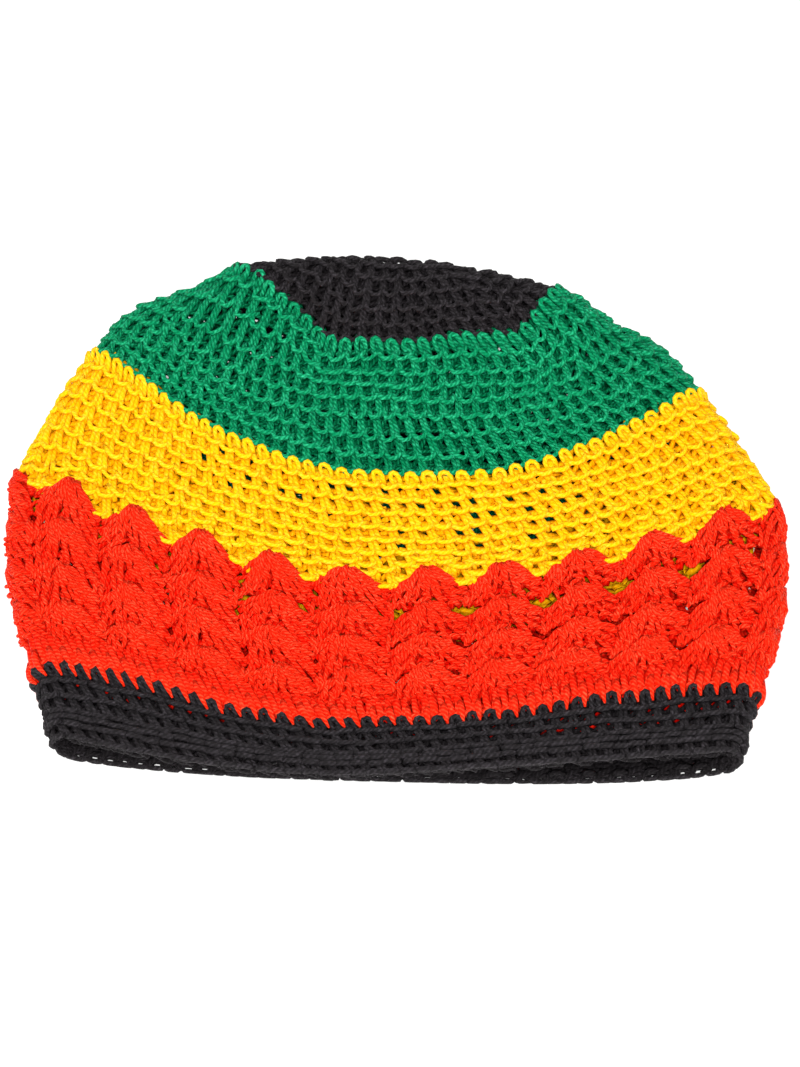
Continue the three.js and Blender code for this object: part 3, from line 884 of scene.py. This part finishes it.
def tall_stitch(u, row):
    """The strands of one double crochet."""
    t = np.linspace(0, 1, FAN_STEPS)
    path = fan_path(u, row, t)
    outermost = abs(u) == 1
    along = np.gradient(path, axis=0)
    along /= np.linalg.norm(along, axis=1, keepdims=True)
    sideways = np.stack([along[:, 1], -along[:, 0]], axis=1)
    top, middle = RISE[row]
    bulge = middle * (1 - FLATTER * u ** 4)
    rise = top * (1 - t) + bulge * np.sin(math.pi * np.minimum(t * BULGE_ENDS, 1)) - TUCK * t
    spread = (SPREAD + MORE_SPREAD * t) * (OUTER_SPREAD if outermost else 1)
    loose = OUTER_LOOSE if outermost else LOOSE
    strands = []
    for half in (0, math.pi):
        turn = math.pi * TWIST * t + half + TWIST_ON * u
        twisted = path + sideways * (spread * np.cos(turn))[:, None]
        strands.append((twisted, rise + TWIST_HEIGHT * np.sin(turn), SHELL_YARN, loose, 1 - t ** 2))
    for place in () if outermost else WRAP_PLACES:
        i = round(place * (FAN_STEPS - 1))
        over = path[i] + WRAP[:, :1] * sideways[i] + WRAP[:, 1:2] * along[i]
        out = WRAP[:, 2] + rise[i] * WRAP_RISE
        strands.append((over, out, SHELL_YARN * WRAP_YARN, WRAP_LOOSE, 1))
    return strands


print("a tall stitch has", len(tall_stitch(0.0, 0)), "strands")

# %% Thick strands behind a shell
FILLINGS = 9
FILLING_YARN = 1.8  # of the shell yarn
FILLING_LOOSE = 0.2
FILLING_DEPTH, ARC_DEPTH = -0.9, -1.4
FILLING_ENDS = (0.06, 0.98)  # from and to, along a tall stitch
FILLING_SIDE = 0.94
ARC_PLACES = (0.5, 0.75)  # how far down the fan the arcs run across it
ARCS = ((-1, -0.3), (-0.35, 0.35), (0.3, 1))


def filling(row):
    """Strands behind the fan, down it and across it, which close most of its gaps."""
    t = np.linspace(*FILLING_ENDS, PLAIN_POINTS)
    yarn = SHELL_YARN * FILLING_YARN
    strands = []
    for u in np.linspace(-FILLING_SIDE, FILLING_SIDE, FILLINGS):
        path = fan_path(u, row, t)
        strands.append((path, FILLING_DEPTH + 0 * t, yarn, FILLING_LOOSE, 1 - t ** 2))
    for place in ARC_PLACES:
        for left, right in ARCS:
            across = np.linspace(left, right, PLAIN_POINTS)
            arc = np.array([fan_path(u, row, np.array([place]))[0] for u in across])
            strands.append((arc, ARC_DEPTH + 0 * t, yarn, FILLING_LOOSE, 1 - place))
    return strands


print("behind each shell lie", len(filling(0)), "strands")

# %% Chain along the edge of a shell
EDGE_LINKS = 8
EDGE_SHARE = 0.62  # the edge chain leaves out the two upright ends of a fan
LINK_POINTS = 5
LINK_OVERLAP = 0.04
LINK_SLANT = 0.6
LINK_LOW, LINK_RISE = 0.2, 0.8
LINK_LOOSE = 0.35


def edge_chain(row):
    """Links along the lower edge of a fan. The plain round covers that of the last row."""
    if row == SHELL_ROWS - 1:
        return []
    slant = np.linspace(-LINK_SLANT, LINK_SLANT, LINK_POINTS)
    out = LINK_LOW + LINK_RISE * np.sin(np.linspace(0, math.pi, LINK_POINTS))
    ends = np.linspace(-EDGE_SHARE, EDGE_SHARE, EDGE_LINKS + 1)
    strands = []
    for left, right in zip(ends[:-1], ends[1:]):
        path = outline(np.linspace(left - LINK_OVERLAP, right + LINK_OVERLAP, LINK_POINTS), row)
        path[:, 1] += slant
        strands.append((path, out, SHELL_YARN, LINK_LOOSE, 0))
    return strands


print("its edge has", len(edge_chain(0)), "links")

# %% [markdown]
# The lace is see-through where a fan ends. A slit stays open between the side of a fan and the
# one below it, and a small hole under its middle. Both are made by pulling the ends of the
# strands up. On one half of the front the lace is stretched, so there the slits are widest.

# %% Slits and holes
SLITS = [9.0, 7.0, 5.5, 0]  # how far the widest slit under each row opens, in mm
WIDE_SLIT = (4, 2.5)  # mm from a fan's middle to its slit, and on until it is fully open
NARROW_SLIT = (9, 2)  # the same on the fan's other side
STRETCHED = (0.27, 0.5)  # shares of the way round between which the slits are wide
SLACK_THERE, SLACK_ELSEWHERE = 0.25, 0.5  # how much the slits differ from shell to shell
HOLE = 2.6  # how far the middle stitch stops short of the next fan
SMALLEST_HOLE = 0.3


def opening(across, down):
    """How much a slit pulls up the end of a stitch there: fully at 1, not at all at 0."""
    wide = np.clip((across - WIDE_SLIT[0]) / WIDE_SLIT[1], 0, 1)
    narrow = np.clip((-across - NARROW_SLIT[0]) / NARROW_SLIT[1], 0, 1)
    return (wide + narrow) * np.clip((down - POINT_DEPTH) / SHELL_ROW, 0, 1)


print("beside a fan its slit is open to", float(opening(SHELL_HALF, 2 * SHELL_ROW)))

# %% Rows of shells
FAN_STITCHES = 9
SHELL_HAND = {"reach": 0.02, "width": 0.04, "lift": 0.15, "yarn": 0.07}  # unevenness, as in HAND


def shell_row(row):
    """All shells of one row, laid on the wall."""
    shares = (np.arange(SHELLS) + SHELL_PHASE) / SHELLS
    base = FIRST_POINT + row * SHELL_ROW
    millimetre = 1 / (SHELLS * pitch_at(base + SHELL_ROW / 2, SHELLS))
    stretched = ((shares > STRETCHED[0]) & (shares < STRETCHED[1]))[:, None]
    slack = jitter.uniform(0, 1, (SHELLS, 1))
    open_there = 1 - SLACK_THERE + SLACK_THERE * slack
    slits = SLITS[row] * np.where(stretched, open_there, SLACK_ELSEWHERE * slack)
    last = row == SHELL_ROWS - 1
    hole = 0 if last else HOLE * jitter.uniform(SMALLEST_HOLE, 1, (SHELLS, 1))
    fan = [s for u in np.linspace(-1, 1, FAN_STITCHES) for s in tall_stitch(u, row)]
    strands = []
    for path, out, yarn, loose, held in fan + filling(row) + edge_chain(row):
        across, down = path.T
        pull = slits * opening(across[-1], down[-1]) + hole * math.exp(-across[-1] ** 2)
        reach = 1 + uneven(SHELLS, SHELL_HAND["reach"])
        fall = base + down * reach + uneven(SHELLS, loose) - (1 - held) * pull
        width = 1 + uneven(SHELLS, SHELL_HAND["width"])
        share = shares[:, None] + (across * width + uneven(SHELLS, loose)) * millimetre
        height = out + uneven(SHELLS, SHELL_HAND["lift"])
        strands.append((fall, share, height, yarn * (1 + uneven(SHELLS, SHELL_HAND["yarn"]))))
    return strands


upper_shells = shell_row(0) + shell_row(1)
lower_shells = shell_row(2) + shell_row(3)
print(SHELLS * SHELL_ROWS, "shells, and", len(upper_shells) // 2, "strands in one of them")

# %% [markdown]
# Under the shells one plain red round stands upright. Its legs reach down between the first
# black arches and show there as a row of red teeth.

# %% Red plain round
PLAIN_NET = {
    "legs": 1.4, "leg_yarn": 1.22, "sunk": 0.3, "link_yarn": 0.9, "sag": 0.2,
    "closed": (1.0, 1.0, 1.0), "back": 1.35, "gather": 0,
}
PLAIN_OVERLAP = 1.6
PLAIN_PHASE = 0.1
TOOTH_PHASE = 0.9
TOOTH_HALF = 1.3  # half the width of a tooth's path, in mm
TOOTH_YARN = 1.0
TOOTH = np.array([
    # across (in half widths), down (share of the row), out (in yarn radii)
    (0.9, 0.4, 0.8), (0.6, 0.75, 1.9), (0.3, 1.0, 2.3), (-0.1, 1.22, 2.3), (-0.7, 1.46, 1.4),
])
TOOTH_TAPER = np.array([1.1, 1.2, 1.1, 0.8, 0.35])
plain_top = SHELL_EDGE - PLAIN_ROUND
plain_round = crochet_round(
    plain_top - PLAIN_OVERLAP, SHELL_EDGE, STITCHES, PLAIN_PHASE, PLAIN_NET
)
tooth_shares = (np.arange(STITCHES) + TOOTH_PHASE) / STITCHES
tooth_width = TOOTH_HALF / STITCHES / pitch_at(SHELL_EDGE, STITCHES)
teeth = strand(tooth_shares, TOOTH, plain_top, SHELL_EDGE, tooth_width, 0, TOOTH_YARN)
teeth = teeth[:3] + (teeth[3] * TOOTH_TAPER,)
yarn_piece("upper_shells", upper_shells, red_cotton, "shell_band")
yarn_piece(
    "lower_shells", lower_shells + plain_round + [teeth], red_cotton, "shell_band"
)

# %% [markdown]
# The black rim starts with three more rounds of open net. Below them lie two low, firm rounds
# whose chains run on as smooth ridges and keep the mouth from stretching. An open round ends it.

# %% Rim
RIM_NET = {
    "legs": 0.68, "leg_yarn": 0.8, "sunk": 0.0, "link_yarn": 0.84, "sag": 0.6,
    "closed": (1.0, 1.0, 0.5), "back": 0.95, "gather": 0,
}
FIRM_NET = {
    "legs": 0.9, "leg_yarn": 0.85, "sunk": 0.6, "link_yarn": 0.95, "sag": 0.3,
    "closed": (1.0, 0, 0), "back": 0.95, "gather": 0,
}
BUMP_WIDTH = 2.2
FIRM_TOP = 202
FIRM_BOTTOM = 206.8
RIM_BANDS = [
    # top, bottom, rounds, phase, net, width of the arches
    (SHELL_EDGE, FIRM_TOP, 3, 0.4, RIM_NET, BUMP_WIDTH),
    (FIRM_TOP, FIRM_BOTTOM, 2, 0.64, FIRM_NET, 0),
    (FIRM_BOTTOM, RIM_EDGE, 1, 0.8, RIM_NET, 0),
]
rim_strands = []
for top, bottom, rounds, phase, net, arch in RIM_BANDS:
    rim_strands += crochet_band(top, bottom, [STITCHES] * rounds, phase, net, arch)
yarn_piece("rim_crochet", rim_strands, black_cotton, "rim")

# %% [markdown]
# The hat lies on a plain pale floor under soft light: a bright even sky, a large key lamp from
# above, and a small lamp close to the camera, which leaves next to no shadow.

# %% Floor
FLOOR_SIZE = 6.0
PAPER_GRAIN = 900.0


def floor_material():
    """Matt white paper, with a grain that is only just there."""
    material, tree, shader = start_material("white_paper_sweep")
    place = add_node(tree, "ShaderNodeTexCoord").outputs["Object"]
    grain = add_node(tree, "ShaderNodeTexNoise", {"Vector": place, "Scale": PAPER_GRAIN})
    colour = add_node(tree, "ShaderNodeMix", {
        0: grain, 6: to_linear("#f4f4f2"), 7: to_linear("#fbfbfa")}, data_type="RGBA")
    tree.links.new(colour.outputs[2], shader.inputs["Base Color"])
    shader.inputs["Roughness"].default_value = 0.8
    return material


bpy.ops.object.select_all(action="DESELECT")
bpy.ops.mesh.primitive_plane_add(size=FLOOR_SIZE, location=(0, 0, 0))
floor = bpy.context.object
floor.name = "floor"
floor.data.materials.append(floor_material())
print("floor", FLOOR_SIZE, "m wide")

# %% Light
HAT_MIDDLE = (0, 0, 0.02)
SKY_STRENGTH = 0.6


def area_lamp(name, place, size, power):
    """A round lamp that is aimed at the hat."""
    lamp = bpy.data.lights.new(name, "AREA")
    lamp.shape = "DISK"
    lamp.size = size
    lamp.energy = power
    holder = put_in_scene(name, lamp)
    holder.location = place
    holder.rotation_euler = (Vector(HAT_MIDDLE) - Vector(place)).to_track_quat("-Z", "Y").to_euler()
    print(name, power, "W")


area_lamp("key_lamp", (-0.5, -0.3, 1.3), 0.9, 6)
area_lamp("camera_lamp", (0.0, -0.95, 1.07), 0.12, 23)

world = bpy.data.worlds.new("studio_sky")
world.use_nodes = True
sky = world.node_tree.nodes["Background"]
sky.inputs[0].default_value = (1, 1, 1, 1)
sky.inputs[1].default_value = SKY_STRENGTH
bpy.context.scene.world = world
bpy.context.scene.view_settings.view_transform = "Standard"

# %% [markdown]
# The camera looks down at the mouth side from 48 degrees, about an arm and a half away, which
# is what the crowding of the far rows and the height of the crown in the photo ask for.

# %% Camera
LOOK_AT = Vector((0.0015, 0.0030, 0.0205))
DISTANCE = 1.1
ELEVATION = math.radians(48)
FIELD_HEIGHT = 0.3337  # what the picture's height covers at that distance

camera_data = bpy.data.cameras.new("photo_camera")
camera_data.lens = camera_data.sensor_width * DISTANCE / FIELD_HEIGHT
camera = put_in_scene("photo_camera", camera_data)
camera.location = LOOK_AT + DISTANCE * Vector((0, -math.cos(ELEVATION), math.sin(ELEVATION)))
camera.rotation_euler = (math.pi / 2 - ELEVATION, 0, 0)
bpy.context.scene.camera = camera
print("lens", round(camera_data.lens, 1), "mm")
